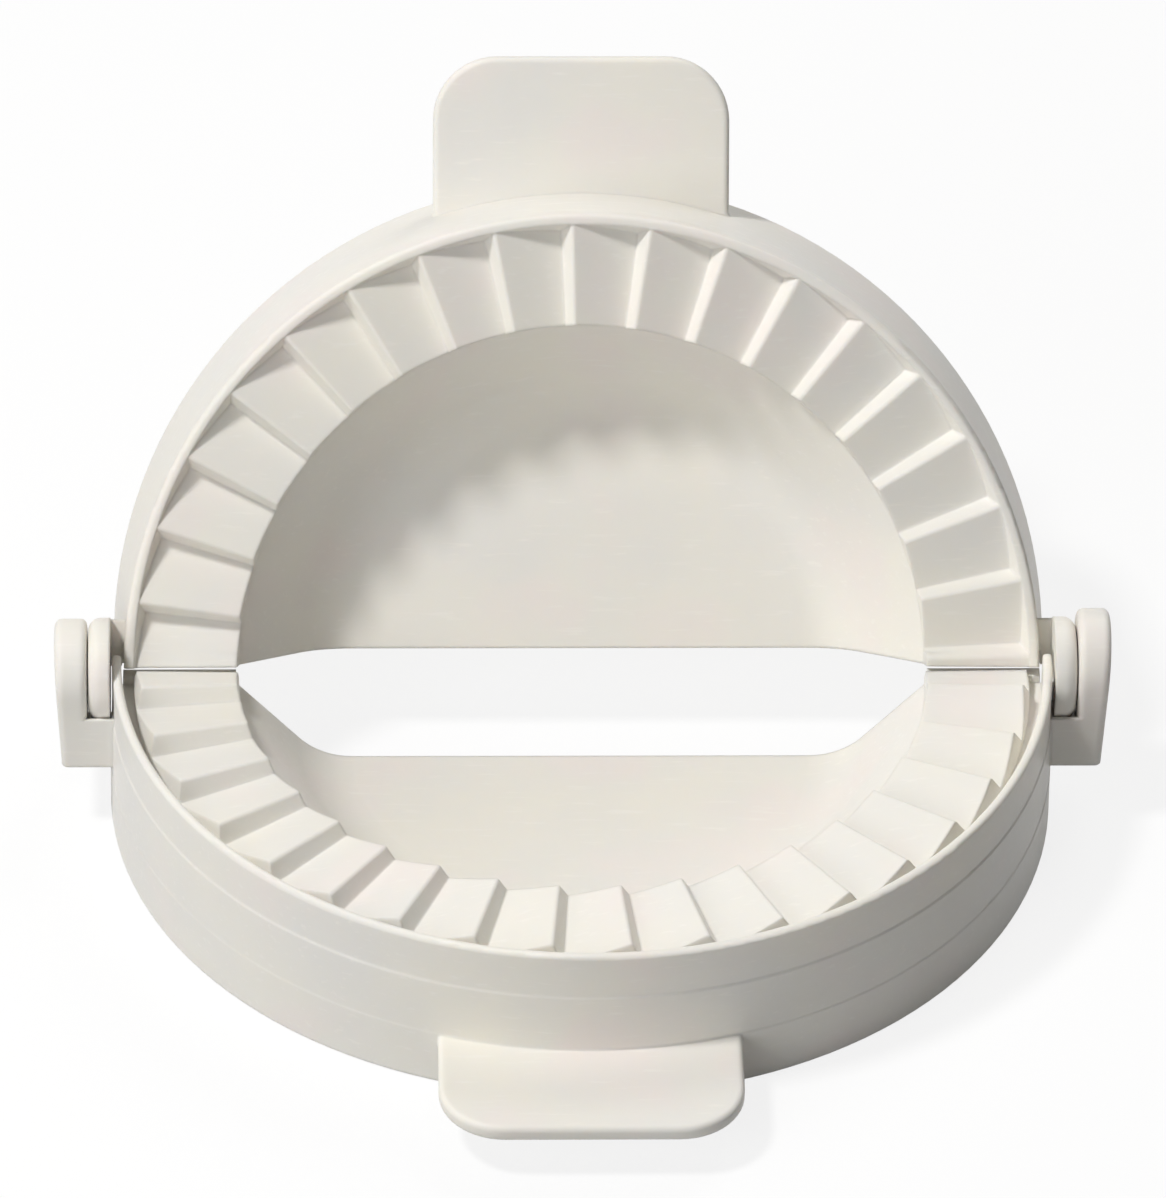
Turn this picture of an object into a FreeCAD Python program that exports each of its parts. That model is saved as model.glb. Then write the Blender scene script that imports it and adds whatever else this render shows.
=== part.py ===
import FreeCAD, Part
import math
import os

# Empanada press: two half-disc jaws of moulded plastic, hinged at both ends of their straight side.
# Millimetres and degrees. Each jaw is drawn flat with the hinge axis along X through zero,
# its half disc towards +Y and its pressing face upwards, and is then turned to where it rests.

# Whole jaws
jaw_radius = 60.0
skirt_depth = 20.1
skirt_wall = 1.4
skirt_flare = 0.15
upper_skirt_spread = 1.65
hinge_side_gap = 0.25
rest_opening = 61.7
fit_clearance = 0.3
closed_gap = 0.2
cut_overrun = 5.0

# Half bowl for the filling
bowl_radius = 43.8
bowl_depth = 14.2
bowl_rim_drop = 2.5
bowl_floor_radius = 33.4
bowl_floor_fillet = 9.0
bowl_wall = 1.7

# Crimping teeth; the play is the angle between steps that face each other in the closed press
tooth_pitch = 10.0
tooth_phase = 2.9
tooth_play = 2.0
tooth_rise = 2.5
tooth_step_run = 1.4
tooth_crest_radius = 0.45
tooth_inner_draft = 0.5
tooth_end_draft = 0.9
pocket_draft = 1.1
upper_crest_level = 0.4
crest_steps = 4

# Lip of the upper jaw, groove and collar of the lower jaw
lip_width = 1.3
lip_edge_radius = 0.6
groove_depth = 2.3
groove_floor = 1.8
collar_height = 2.4
collar_wall = 1.2
collar_edge_radius = 0.5
skirt_step = 0.14
skirt_foot_radius = 0.4

# Sill of the lower jaw, which reaches under the end of the upper band and closes the seam
sill_reach = 1.6
sill_drop = 1.3
sill_inset = 0.4
sill_play = 0.15

# Finger tabs
tab_width = 37.9
upper_tab_length = 17.0
lower_tab_length = 15.2
tab_corner_radius = 8.2
tab_thickness = 2.2
tab_drop = 12.4
tab_root_fillet = 2.0
tab_edge_radius = 0.7

# Hinge
knuckle_radius = 6.6
knuckle_length = 2.8
knuckle_rounding = 1.6
knuckle_clearance = 0.2
knuckle_end_play = 0.15
knuckle_room_play = 0.2
pin_radius = 2.3
pin_play = 0.08
pin_recess = 0.3
ear_thickness = 4.2
ear_radius = 6.5
ear_drop = 10.8
ear_draft = 0.9
ear_edge_radius = 0.9
left_ear_lift = 0.0
right_ear_lift = 1.5
saddle_drop = 3.2

# Levels, radii and angles that follow from the sizes above
plate_underside = -groove_depth - groove_floor
collar_inner_radius = jaw_radius - collar_wall
lip_radius = collar_inner_radius - fit_clearance
tooth_outer_radius = lip_radius - lip_width
step_angle = math.degrees(tooth_step_run / tooth_outer_radius)
upper_pocket_level = upper_crest_level - tooth_rise
meshed_height = tooth_rise * (1 + tooth_play / (tooth_pitch - step_angle))
lower_pocket_level = -closed_gap - upper_pocket_level - meshed_height
lower_crest_level = lower_pocket_level + tooth_rise
lower_tooth_phase = tooth_pitch - (tooth_phase - step_angle + tooth_play)
neck_level = -collar_height - fit_clearance
skirt_inner_radius = jaw_radius - skirt_wall
skirt_middle_radius = jaw_radius - skirt_wall / 2
lower_tab_root = jaw_radius + skirt_flare * tab_drop / skirt_depth
neck_inner_radius = lip_radius - skirt_wall
neck_middle_radius = lip_radius - skirt_wall / 2
upper_spread_slope = upper_skirt_spread / (skirt_depth + neck_level)
upper_tab_root = lip_radius + upper_spread_slope * (tab_drop + neck_level)
knuckle_start = jaw_radius + knuckle_clearance
knuckle_end = knuckle_start + knuckle_length
ear_start = knuckle_end + knuckle_end_play
ear_end = ear_start + ear_thickness
axis_x = FreeCAD.Vector(1, 0, 0)
axis_y = FreeCAD.Vector(0, 1, 0)
axis_z = FreeCAD.Vector(0, 0, 1)
origin = FreeCAD.Vector(0, 0, 0)


def point(radius, height):
    return FreeCAD.Vector(radius, 0, height)


def rounded_outline(corners):
    """Closed face through corners (point, radius); a radius over zero rounds its corner with an arc."""
    arcs = []
    count = len(corners)
    for index, (corner, radius) in enumerate(corners):
        before = (corners[index - 1][0] - corner).normalize()
        after = (corners[(index + 1) % count][0] - corner).normalize()
        if radius == 0:
            arcs.append((corner, None, corner))
            continue
        half_angle = before.getAngle(after) / 2
        setback = radius / math.tan(half_angle)
        middle_way = (before + after).normalize()
        middle = corner + middle_way * (radius / math.sin(half_angle) - radius)
        arcs.append((corner + before * setback, middle, corner + after * setback))
    edges = []
    for index, (start, middle, end) in enumerate(arcs):
        if middle is not None:
            edges.append(Part.Arc(start, middle, end).toShape())
        following = arcs[(index + 1) % count][0]
        edges.append(Part.LineSegment(end, following).toShape())
    return Part.Face(Part.Wire(edges))


def half_turned(corners):
    """Half a solid of revolution from a section given as (radius, height, corner radius)."""
    section = rounded_outline([(point(radius, height), rounding) for radius, height, rounding in corners])
    return section.revolve(origin, axis_z, 180)


# Bowl: its inner line from the floor to the rim, and the same line one wall further out
def bowl_lines():
    wall_angle = math.atan2(bowl_depth - bowl_rim_drop, bowl_radius - bowl_floor_radius)
    corner_shift = bowl_wall * math.tan(wall_angle / 2)
    outer_floor_radius = bowl_floor_radius + corner_shift
    outer_floor = -bowl_depth - bowl_wall
    outer_top_radius = outer_floor_radius + (plate_underside - outer_floor) / math.tan(wall_angle)
    inner = [(bowl_floor_radius, -bowl_depth, bowl_floor_fillet), (bowl_radius, -bowl_rim_drop, 0)]
    outer = [(outer_top_radius, plate_underside, 0),
             (outer_floor_radius, outer_floor, bowl_floor_fillet + bowl_wall)]
    return inner, outer


def jaw_section(rim, foot_radius, top_radius):
    """Section of a jaw through its bowl, band, rim and skirt, with the skirt's inner radii."""
    inner, outer = bowl_lines()
    centre = [(0, -bowl_depth - bowl_wall, 0), (0, -bowl_depth, 0)]
    underside = [
        (foot_radius, -skirt_depth, 0),
        (top_radius, plate_underside, 0),
    ]
    return centre + inner + rim + underside + outer


# Upper rim: the band's pockets end in a drafted wall, and the lip beyond it drops into the groove.
# Below the neck, which the lower jaw's collar surrounds, the skirt spreads evenly to its foot.
def upper_rim():
    return [
        (bowl_radius, upper_pocket_level, 0),
        (tooth_outer_radius - pocket_draft, upper_pocket_level, 0),
        (tooth_outer_radius, upper_crest_level, 0),
        (lip_radius, upper_crest_level, lip_edge_radius),
        (lip_radius, neck_level, 0),
        (lip_radius + upper_skirt_spread, -skirt_depth, skirt_foot_radius),
    ]


# Lower rim: a groove for the lip, then a thin collar that stands above the band; the skirt below
# steps out at two fine ledges, the second one level with the top of the finger tab
def lower_rim():
    ledge_radius = jaw_radius + skirt_step
    second_level = skirt_step - tab_drop
    second_radius = ledge_radius + skirt_flare * tab_drop / skirt_depth
    second_step = skirt_step / 2
    return [
        (bowl_radius, lower_pocket_level, 0),
        (tooth_outer_radius, lower_pocket_level, 0),
        (tooth_outer_radius, -groove_depth, 0),
        (collar_inner_radius, -groove_depth, 0),
        (collar_inner_radius, collar_height, collar_edge_radius),
        (jaw_radius, collar_height, collar_edge_radius),
        (jaw_radius, plate_underside, 0),
        (ledge_radius, plate_underside - skirt_step, 0),
        (second_radius, second_level, 0),
        (second_radius + second_step, second_level - second_step, 0),
        (ledge_radius + skirt_flare + second_step, -skirt_depth, skirt_foot_radius),
    ]


# One tooth: flat ramps and a drafted step, all through one apex on the disc's axis,
# so a tooth is taller and wider towards the outside
def tooth_profile():
    pitch_length = tooth_outer_radius * math.radians(tooth_pitch)
    crest = FreeCAD.Vector(pitch_length - tooth_step_run, tooth_rise, 0)
    start = FreeCAD.Vector(0, 0, 0)
    end = FreeCAD.Vector(pitch_length, 0, 0)
    to_start = (start - crest).normalize()
    to_end = (end - crest).normalize()
    half_angle = to_start.getAngle(to_end) / 2
    setback = tooth_crest_radius / math.tan(half_angle)
    centre = crest + (to_start + to_end).normalize() * (tooth_crest_radius / math.sin(half_angle))
    first = crest + to_start * setback
    last = crest + to_end * setback
    profile = [start]
    for step in range(crest_steps + 1):
        share = step / crest_steps
        spoke = (first - centre) * (1 - share) + (last - centre) * share
        profile.append(centre + spoke.normalize() * tooth_crest_radius)
    profile.append(end)
    return profile


def tooth(start_angle, pocket_level):
    root = groove_floor
    pitch = math.radians(tooth_pitch)
    turn = math.radians(start_angle)
    inner_reach = bowl_radius - cut_overrun
    outer_reach = tooth_outer_radius + cut_overrun
    inner_end = []
    outer_end = []
    for spot in tooth_profile():
        angle = spot.x / tooth_outer_radius
        for reach, end in ((inner_reach, inner_end), (outer_reach, outer_end)):
            radius = reach * math.cos(pitch / 2) / math.cos(angle - pitch / 2)
            across = radius * math.cos(turn + angle)
            outwards = radius * math.sin(turn + angle)
            height = pocket_level + spot.y * radius / tooth_outer_radius
            end.append(FreeCAD.Vector(across, outwards, height))
    for end in (inner_end, outer_end):
        end.append(end[-1] - axis_z * root)
        end.append(end[0] - axis_z * root)
    faces = [Part.Face(Part.makePolygon(end + [end[0]])) for end in (inner_end, outer_end)]
    count = len(inner_end)
    for index in range(count):
        other = (index + 1) % count
        side = [inner_end[index], inner_end[other], outer_end[other], outer_end[index], inner_end[index]]
        faces.append(Part.Face(Part.makePolygon(side)))
    return Part.Solid(Part.Shell(faces))


def teeth(phase, pocket_level, clip):
    count = math.ceil(180 / tooth_pitch) + 1
    fan = [tooth(phase + (index - 1) * tooth_pitch, pocket_level) for index in range(count)]
    return fan[0].multiFuse(fan[1:]).common(clip)


def tooth_clip(pocket_level, outer_corners):
    base = pocket_level - groove_floor / 2
    inner_corners = [
        (bowl_radius, base, 0),
        (outer_corners[0][0], base, 0),
    ]
    draft_corners = [
        (bowl_radius + tooth_inner_draft, pocket_level + tooth_rise, 0),
        (bowl_radius, pocket_level, 0),
    ]
    return half_turned(inner_corners + outer_corners + draft_corners)


def upper_teeth():
    reach = tooth_outer_radius + lip_width / 2
    clip = tooth_clip(upper_pocket_level, [(reach, upper_crest_level, 0)])
    return teeth(tooth_phase, upper_pocket_level, clip)


def lower_teeth():
    crest_reach = tooth_outer_radius - tooth_end_draft
    outer_corners = [(tooth_outer_radius, lower_pocket_level, 0), (crest_reach, lower_crest_level, 0)]
    clip = tooth_clip(lower_pocket_level, outer_corners)
    return teeth(lower_tooth_phase, lower_pocket_level, clip)


# Finger tab: a flat tongue that leaves the skirt with small fillets and has rounded corners
def finger_tab(tab_length, root_radius):
    tab_reach = jaw_radius + tab_length
    half_width = tab_width / 2
    root_half = half_width + tab_root_fillet + tab_edge_radius
    root_reach = math.sqrt(root_radius ** 2 - root_half ** 2)
    level = -tab_drop - tab_thickness
    corners = [
        (FreeCAD.Vector(-root_half, root_reach, level), 0),
        (FreeCAD.Vector(-half_width, root_reach, level), tab_root_fillet),
        (FreeCAD.Vector(-half_width, tab_reach, level), tab_corner_radius),
        (FreeCAD.Vector(half_width, tab_reach, level), tab_corner_radius),
        (FreeCAD.Vector(half_width, root_reach, level), tab_root_fillet),
        (FreeCAD.Vector(root_half, root_reach, level), 0),
        (FreeCAD.Vector(root_half, root_reach - cut_overrun, level), 0),
        (FreeCAD.Vector(-root_half, root_reach - cut_overrun, level), 0),
    ]
    tongue = rounded_outline(corners).extrude(axis_z * tab_thickness)
    rim_edges = []
    for edge in tongue.Edges:
        box = edge.BoundBox
        if box.ZLength < tab_thickness / 2 and box.YMin > root_reach - tab_root_fillet:
            rim_edges.append(edge)
    return tongue, rim_edges


def tab_on_skirt(tab_length, root_radius):
    tongue, rim_edges = finger_tab(tab_length, root_radius)
    rounded = tongue.makeFillet(tab_edge_radius, rim_edges)
    inside = Part.makeCylinder(root_radius - skirt_wall / 2, skirt_depth, point(0, -skirt_depth))
    return rounded.cut(inside)


def cylinder_along_x(radius, start, end):
    return Part.makeCylinder(radius, end - start, FreeCAD.Vector(start, 0, 0), axis_x)


# Knuckle of the upper jaw: a rounded boss on the hinge axis. Below the neck it runs inwards
# to the skirt, where it stays clear of the lower jaw's collar through the whole swing.
def knuckle():
    boss = cylinder_along_x(knuckle_radius, knuckle_start, knuckle_end)
    far_rim = [edge for edge in boss.Edges if edge.BoundBox.XMin > knuckle_end - knuckle_length / 2]
    boss = boss.makeFillet(knuckle_rounding, far_rim)
    root = cylinder_along_x(knuckle_radius, neck_inner_radius, knuckle_end - knuckle_rounding)
    corner = FreeCAD.Vector(neck_inner_radius, 0, neck_level - knuckle_radius)
    quarter = Part.makeBox(2 * cut_overrun, knuckle_radius, knuckle_radius, corner)
    inside = Part.makeCylinder(neck_middle_radius, 2 * knuckle_radius, point(0, -2 * knuckle_radius))
    root = root.common(quarter).cut(inside)
    return boss.fuse(root)


# Ear of the lower jaw: a tapered plate with a round crown and rounded rims, carried by a saddle
# beside the skirt
def ear(lift):
    width = ear_radius
    near_foot = FreeCAD.Vector(0, -width, -ear_drop)
    near_shoulder = FreeCAD.Vector(0, -width, lift)
    top = FreeCAD.Vector(0, 0, lift + width)
    far_shoulder = FreeCAD.Vector(0, width, lift)
    far_foot = FreeCAD.Vector(0, width, -ear_drop)
    side = Part.Wire([
        Part.LineSegment(near_foot, near_shoulder).toShape(),
        Part.Arc(near_shoulder, top, far_shoulder).toShape(),
        Part.LineSegment(far_shoulder, far_foot).toShape(),
        Part.LineSegment(far_foot, near_foot).toShape(),
    ])
    plate = Part.Face(side).extrude(axis_x * ear_thickness)
    plate.translate(axis_x * ear_start)
    crown = lift + width
    front = rounded_outline([
        (FreeCAD.Vector(ear_start, -width, -ear_drop), 0),
        (FreeCAD.Vector(ear_end - ear_draft, -width, -ear_drop), 0),
        (FreeCAD.Vector(ear_end, -width, crown), 0),
        (FreeCAD.Vector(ear_start, -width, crown), 0),
    ]).extrude(axis_y * (2 * width))
    plate = plate.common(front)
    rims = []
    for edge in plate.Edges:
        box = edge.BoundBox
        if box.XLength < ear_thickness / 2 and box.ZMax > -ear_drop / 2:
            rims.append(edge)
    return plate.makeFillet(ear_edge_radius, rims)


def saddle():
    length = ear_start + ear_edge_radius - skirt_inner_radius
    depth = ear_drop - saddle_drop
    corner = FreeCAD.Vector(skirt_inner_radius, hinge_side_gap / 2, -ear_drop)
    block = Part.makeBox(length, ear_radius - hinge_side_gap / 2, depth, corner)
    inside = Part.makeCylinder(skirt_middle_radius, 2 * ear_drop, point(0, -2 * ear_drop))
    return block.cut(inside)


# Room for the knuckle beside the lower jaw's wall: the saddle and the skirt are hollowed round it
def knuckle_room():
    return cylinder_along_x(knuckle_radius + knuckle_room_play, jaw_radius, ear_start)


# Sill under the seam: a tongue at the end of the lower band and its groove, which reaches over the
# hinge line; the upper jaw has a rebate for it that is larger by the play all round, and as deep as
# the sill's corner reaches when the jaw turns over it
def sill(underside, play):
    start = bowl_radius + sill_inset - play
    length = skirt_inner_radius + play - start
    depth = sill_reach + hinge_side_gap / 2 + play
    base = underside - play
    height = play - sill_drop - base
    return Part.makeBox(length, depth, height, FreeCAD.Vector(start, -hinge_side_gap / 2, base))


def mirrored(shape):
    return shape.mirror(origin, axis_x)


def pin_hole(radius):
    return cylinder_along_x(radius, knuckle_start - fit_clearance, ear_end + cut_overrun)


# Upper jaw as moulded, before it is opened to where it rests
def upper_jaw():
    foot_radius = lip_radius + upper_skirt_spread - skirt_wall
    body = half_turned(jaw_section(upper_rim(), foot_radius, neck_inner_radius))
    body = body.fuse(upper_teeth()).removeSplitter()
    body.translate(axis_y * (hinge_side_gap / 2))
    boss = knuckle()
    body = body.multiFuse([tab_on_skirt(upper_tab_length, upper_tab_root), boss, mirrored(boss)])
    bore = pin_hole(pin_radius + pin_play)
    corner_swing = point(sill_reach, plate_underside).Length
    rebate = sill(-corner_swing, sill_play)
    body = body.cut(rebate).cut(mirrored(rebate))
    return body.cut(bore).cut(mirrored(bore)).removeSplitter()


# Lower jaw as moulded; turned half round so that its half disc points to the front
def lower_jaw():
    foot_radius = skirt_inner_radius + skirt_flare
    body = half_turned(jaw_section(lower_rim(), foot_radius, skirt_inner_radius))
    body = body.fuse(lower_teeth()).removeSplitter()
    body.translate(axis_y * (hinge_side_gap / 2))
    right = ear(left_ear_lift).fuse(saddle())
    left = mirrored(ear(right_ear_lift).fuse(saddle()))
    seam_sill = sill(plate_underside, 0)
    seam_sill.rotate(origin, axis_z, 180)
    tab = tab_on_skirt(lower_tab_length, lower_tab_root)
    body = body.multiFuse([tab, right, left, seam_sill, mirrored(seam_sill)])
    room = knuckle_room()
    bore = pin_hole(pin_radius)
    body = body.cut(room).cut(mirrored(room)).cut(bore).cut(mirrored(bore)).removeSplitter()
    body.rotate(origin, axis_z, 180)
    return body


def hinge_pin():
    inner_end = knuckle_start + knuckle_length / 4
    outer_end = ear_end - ear_draft / 2 - pin_recess
    return cylinder_along_x(pin_radius, inner_end, outer_end)


# Everything in the part's own frame: the middle of the part's outline, at the height of the table
def placed(shape):
    turn = math.radians(rest_opening)
    tab_underside = tab_drop + tab_thickness
    upper_reach = jaw_radius + upper_tab_length
    front = jaw_radius + lower_tab_length
    back = upper_reach * math.cos(turn) + tab_underside * math.sin(turn)
    shape.translate(FreeCAD.Vector(0, (front - back) / 2, skirt_depth))
    return shape


def save(shape, name):
    shape.exportStep("parts/" + name + ".step")
    box = shape.BoundBox
    print(name, "solids", len(shape.Solids), "valid", shape.isValid(), "volume", round(shape.Volume, 1))
    print("  x", round(box.XMin, 2), round(box.XMax, 2))
    print("  y", round(box.YMin, 2), round(box.YMax, 2))
    print("  z", round(box.ZMin, 2), round(box.ZMax, 2))


os.makedirs("parts", exist_ok=True)
opened = upper_jaw()
opened.rotate(origin, axis_x, rest_opening)
save(placed(opened), "upper_jaw")
save(placed(lower_jaw()), "lower_jaw")
save(placed(hinge_pin()), "hinge_pin_right")
save(placed(mirrored(hinge_pin())), "hinge_pin_left")
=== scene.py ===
import bpy
import math
from mathutils import Matrix, Vector


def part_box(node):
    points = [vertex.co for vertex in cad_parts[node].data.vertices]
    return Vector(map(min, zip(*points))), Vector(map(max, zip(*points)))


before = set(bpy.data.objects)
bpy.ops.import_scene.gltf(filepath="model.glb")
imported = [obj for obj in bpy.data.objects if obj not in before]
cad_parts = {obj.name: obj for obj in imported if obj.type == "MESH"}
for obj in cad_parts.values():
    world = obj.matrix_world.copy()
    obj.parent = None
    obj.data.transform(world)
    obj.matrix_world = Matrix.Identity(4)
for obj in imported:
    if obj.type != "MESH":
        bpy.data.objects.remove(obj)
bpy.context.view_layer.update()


# Lower jaw: a half disc of injection-moulded polypropylene that lies on the table on its skirt.
# Bowl, crimping teeth, collar, skirt, finger tab and both hinge ears come out of the mould in
# one piece, in a warm white with a satin skin that use rubs a little paler along the edges.
lower_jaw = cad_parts["lower_jaw"]
warm_white = (0.840, 0.812, 0.737)
cool_white = (0.802, 0.785, 0.742)
rosy_white = (0.838, 0.785, 0.742)
worn_white = (0.880, 0.855, 0.800)
edge_softness = 0.0006
edge_samples = 4
edge_shine = 0.12
streak_shine = 0.12
streak_turn = (0.3, 0.2, 0.6)
streak_stretch = (1, 9, 9)
peel_strength = 0.25
peel_height = 0.00004
grain_strength = 0.15
grain_height = 0.00001


def moulded_plastic(name, shift, dull):
    """Satin polypropylene: clouded colour, orange peel, rubbed streaks and soft moulded edges."""
    plastic = bpy.data.materials.new(name)
    plastic.use_nodes = True
    tree = plastic.node_tree
    skin = tree.nodes["Principled BSDF"]
    for socket, value in (("IOR", 1.49), ("Specular IOR Level", 0.25), ("Subsurface Weight", 0.2),
                          ("Subsurface Radius", (1.0, 0.8, 0.55)), ("Subsurface Scale", 0.0012)):
        skin.inputs[socket].default_value = value
    spot = tree.nodes.new("ShaderNodeTexCoord")
    place = tree.nodes.new("ShaderNodeMapping")
    place.inputs["Location"].default_value = shift
    tree.links.new(spot.outputs["Object"], place.inputs["Vector"])
    stretched = tree.nodes.new("ShaderNodeMapping")
    stretched.inputs["Rotation"].default_value = streak_turn
    stretched.inputs["Scale"].default_value = streak_stretch
    tree.links.new(place.outputs["Vector"], stretched.inputs["Vector"])

    def noise(scale, detail, where=place):
        cloud = tree.nodes.new("ShaderNodeTexNoise")
        cloud.inputs["Scale"].default_value = scale
        cloud.inputs["Detail"].default_value = detail
        tree.links.new(where.outputs["Vector"], cloud.inputs["Vector"])
        return cloud.outputs["Fac"]

    def spread(value, between, to):
        ramp = tree.nodes.new("ShaderNodeMapRange")
        ramp.inputs["From Min"].default_value, ramp.inputs["From Max"].default_value = between
        ramp.inputs["To Min"].default_value, ramp.inputs["To Max"].default_value = to
        tree.links.new(value, ramp.inputs["Value"])
        return ramp.outputs["Result"]

    def blended(amount, first, second):
        mix = tree.nodes.new("ShaderNodeMix")
        mix.data_type = "RGBA"
        tree.links.new(amount, mix.inputs["Factor"])
        for socket, colour in ((mix.inputs["A"], first), (mix.inputs["B"], second)):
            if isinstance(colour, tuple):
                socket.default_value = colour + (1,)
            else:
                tree.links.new(colour, socket)
        return mix.outputs["Result"]

    def uneven(height, strength, distance, below):
        bump = tree.nodes.new("ShaderNodeBump")
        bump.inputs["Strength"].default_value = strength
        bump.inputs["Distance"].default_value = distance
        tree.links.new(height, bump.inputs["Height"])
        tree.links.new(below, bump.inputs["Normal"])
        return bump.outputs["Normal"]

    # edges: where the softened normal leans away from the face's own
    rounded = tree.nodes.new("ShaderNodeBevel")
    rounded.samples = edge_samples
    rounded.inputs["Radius"].default_value = edge_softness
    face = tree.nodes.new("ShaderNodeNewGeometry")
    lean = tree.nodes.new("ShaderNodeVectorMath")
    lean.operation = "DOT_PRODUCT"
    tree.links.new(rounded.outputs["Normal"], lean.inputs[0])
    tree.links.new(face.outputs["Normal"], lean.inputs[1])
    patches = tree.nodes.new("ShaderNodeMath")
    patches.operation = "MULTIPLY"
    leaning = spread(lean.outputs["Value"], between=(0.95, 0.80), to=(0, 0.7))
    patchy = spread(noise(scale=260, detail=3), between=(0.38, 0.62), to=(0.15, 1))
    tree.links.new(leaning, patches.inputs[0])
    tree.links.new(patchy, patches.inputs[1])
    worn = patches.outputs["Value"]

    # colour: cool and rosy clouds in the warm white, then rubbed streaks and edges
    cool_clouds = spread(noise(scale=45, detail=3), between=(0.35, 0.65), to=(0, 1))
    rosy_clouds = spread(noise(scale=70, detail=2), between=(0.52, 0.68), to=(0, 0.8))
    streaks = noise(scale=160, detail=4, where=stretched)
    clouded = blended(cool_clouds, warm_white, cool_white)
    tinted = blended(rosy_clouds, clouded, rosy_white)
    rubbed = blended(spread(streaks, between=(0.60, 0.72), to=(0, 0.5)), tinted, worn_white)
    tree.links.new(blended(worn, rubbed, worn_white), skin.inputs["Base Color"])

    # sheen: streaks and worn edges are smoother than the rest
    polish = tree.nodes.new("ShaderNodeMath")
    polish.operation = "MULTIPLY_ADD"
    polish.inputs[1].default_value = -edge_shine
    tree.links.new(worn, polish.inputs[0])
    sheen = spread(streaks, between=(0.35, 0.75), to=(dull, dull - streak_shine))
    tree.links.new(sheen, polish.inputs[2])
    tree.links.new(polish.outputs["Value"], skin.inputs["Roughness"])

    # skin: orange peel, and a fine grain on it
    peel_noise = noise(scale=900, detail=2)
    grain_noise = noise(scale=4500, detail=2)
    peel = uneven(peel_noise, peel_strength, peel_height, below=rounded.outputs["Normal"])
    grain = uneven(grain_noise, grain_strength, grain_height, below=peel)
    tree.links.new(grain, skin.inputs["Normal"])
    return plastic


lower_jaw.data.materials.clear()
lower_jaw.data.materials.append(moulded_plastic("lower_jaw_white", (0.0, 0.0, 0.0), dull=0.46))


# Upper jaw: the second half disc, moulded in the same white polypropylene, with a lip that drops
# into the lower jaw's groove. Its two knuckles turn on the pins, and it stands half open by itself.
upper_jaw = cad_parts["upper_jaw"]
upper_jaw.data.materials.clear()
upper_jaw.data.materials.append(moulded_plastic("upper_jaw_white", (0.31, 0.17, 0.05), dull=0.48))


# Hinge pins: two short pegs of the same plastic, pushed through the ears of the lower jaw into
# the bores of the upper jaw's knuckles. Only their outer ends show, just below the ears' faces.
for side in ("left", "right"):
    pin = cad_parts["hinge_pin_" + side]
    pin.data.materials.clear()
    pin.data.materials.append(moulded_plastic("pin_white_" + side, (0.07, 0.23, 0.4), dull=0.40))


# Floor: a plain white table top that runs on past the view. It shows as white to the camera and in
# reflections, keeps a soft shadow of the press, and throws back half of the light that falls on it.
far = 3.0
middle_grey = (0.5, 0.5, 0.5, 1)
near_white = (0.95, 0.95, 0.95, 1)
glow_share = 0.84
floor_mesh = bpy.data.meshes.new("table_top")
corners = [(-far, -far, 0), (far, -far, 0), (far, far, 0), (-far, far, 0)]
floor_mesh.from_pydata(corners, [], [(0, 1, 2, 3)])
floor = bpy.data.objects.new("table_top", floor_mesh)
bpy.context.scene.collection.objects.link(floor)
table_white = bpy.data.materials.new("table_white")
table_white.use_nodes = True
tree = table_white.node_tree
surface = tree.nodes["Principled BSDF"]
surface.inputs["Base Color"].default_value = middle_grey
surface.inputs["Roughness"].default_value = 0.9
surface.inputs["Specular IOR Level"].default_value = 0.1
lit = tree.nodes.new("ShaderNodeBsdfDiffuse")
lit.inputs["Color"].default_value = near_white
bright = tree.nodes.new("ShaderNodeEmission")
bright.inputs["Strength"].default_value = 1.0
shadowed = tree.nodes.new("ShaderNodeMixShader")
shadowed.inputs["Fac"].default_value = glow_share
tree.links.new(lit.outputs["BSDF"], shadowed.inputs[1])
tree.links.new(bright.outputs["Emission"], shadowed.inputs[2])


def seen_directly(tree):
    """One for camera, glossy and transmission rays, and zero for the light that spreads softly."""
    path = tree.nodes.new("ShaderNodeLightPath")
    seen = path.outputs["Is Camera Ray"]
    for ray in ("Is Glossy Ray", "Is Transmission Ray"):
        larger = tree.nodes.new("ShaderNodeMath")
        larger.operation = "MAXIMUM"
        tree.links.new(seen, larger.inputs[0])
        tree.links.new(path.outputs[ray], larger.inputs[1])
        seen = larger.outputs["Value"]
    return seen


choice = tree.nodes.new("ShaderNodeMixShader")
tree.links.new(seen_directly(tree), choice.inputs["Fac"])
tree.links.new(surface.outputs["BSDF"], choice.inputs[1])
tree.links.new(shadowed.outputs["Shader"], choice.inputs[2])
tree.links.new(choice.outputs["Shader"], tree.nodes["Material Output"].inputs["Surface"])
floor_mesh.materials.append(table_white)


# Camera: a long lens, nearly straight from the front and looking down on the open press, turned so
# that the hinge falls on the pixel where the photo shows it. Distances are in metres.
pin_near, pin_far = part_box("hinge_pin_left")
hinge = Vector((0, (pin_near[1] + pin_far[1]) / 2, (pin_near[2] + pin_far[2]) / 2))
photo_width = 1166
photo_height = 1198
hinge_pixel = (582.14, 668.67)
pixels_per_metre = 7830.0
distance = 1.4
sensor = 36
elevation = math.radians(38.18)
azimuth = math.radians(1.843)
roll = math.radians(-1.058)
forward = Vector((math.sin(azimuth) * math.cos(elevation),
                  math.cos(azimuth) * math.cos(elevation),
                  -math.sin(elevation)))
level_right = Vector((math.cos(azimuth), -math.sin(azimuth), 0))
level_up = level_right.cross(forward)
right = level_right * math.cos(roll) - level_up * math.sin(roll)
up = level_right * math.sin(roll) + level_up * math.cos(roll)
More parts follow.
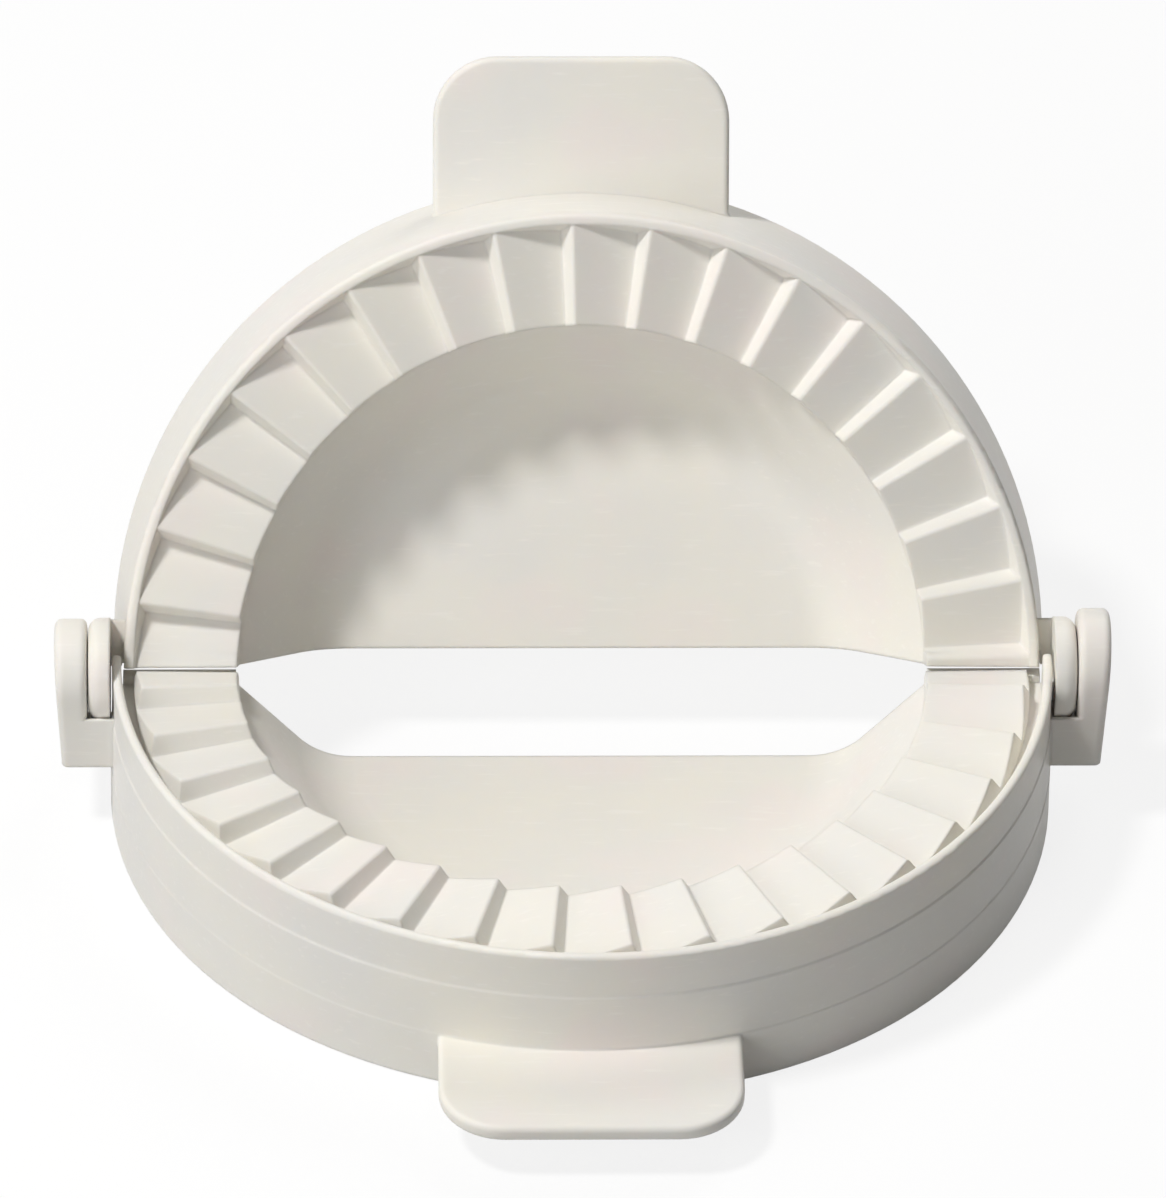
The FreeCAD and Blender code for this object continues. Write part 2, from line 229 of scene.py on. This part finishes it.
across = (hinge_pixel[0] - photo_width / 2) / pixels_per_metre
upwards = (photo_height / 2 - hinge_pixel[1]) / pixels_per_metre
eye = hinge - forward * distance - right * across - up * upwards
lens = bpy.data.cameras.new("camera")
lens.sensor_width = sensor
lens.lens = sensor * pixels_per_metre * distance / photo_height
lens.clip_end = 20
camera = bpy.data.objects.new("camera", lens)
turn = Matrix((right, up, -forward)).transposed().to_4x4()
camera.matrix_world = Matrix.Translation(eye) @ turn
bpy.context.scene.collection.objects.link(camera)
bpy.context.scene.camera = camera


# Studio light: a small key from high on the left, a wide fill from the left front, a box over the
# back right that lights the rim, a faint front fill, and a dim even surround that shows as white.
press_middle = Vector((0, 0, 0.03))
surround_light = 0.08


def soft_box(name, place, size, power, colour):
    """A square area lamp, in metres and watts, that faces the middle of the press."""
    panel = bpy.data.lights.new(name, "AREA")
    panel.size = size
    panel.energy = power
    panel.color = colour
    lamp = bpy.data.objects.new(name, panel)
    lamp.location = place
    lamp.rotation_euler = (press_middle - Vector(place)).to_track_quat("-Z", "Y").to_euler()
    bpy.context.scene.collection.objects.link(lamp)


soft_box("key", (-0.453, -0.101, 0.916), size=0.14, power=7.0, colour=(1.0, 0.99, 0.98))
soft_box("left_fill", (-0.597, -0.697, 0.428), size=0.6, power=3.1, colour=(0.98, 0.99, 1.0))
soft_box("rim_light", (0.355, 0.608, 0.740), size=0.45, power=2.8, colour=(1.0, 0.995, 0.98))
soft_box("front_fill", (-0.200, -0.968, 0.180), size=0.45, power=0.5, colour=(0.98, 0.99, 1.0))
world = bpy.data.worlds.new("studio")
world.use_nodes = True
tree = world.node_tree
surround = tree.nodes.new("ShaderNodeMapRange")
surround.inputs["To Min"].default_value = surround_light
surround.inputs["To Max"].default_value = 1.0
tree.links.new(seen_directly(tree), surround.inputs["Value"])
tree.links.new(surround.outputs["Result"], tree.nodes["Background"].inputs["Strength"])
tree.nodes["Background"].inputs["Color"].default_value = (1, 1, 1, 1)
bpy.context.scene.world = world
bpy.context.scene.view_settings.view_transform = "Standard"
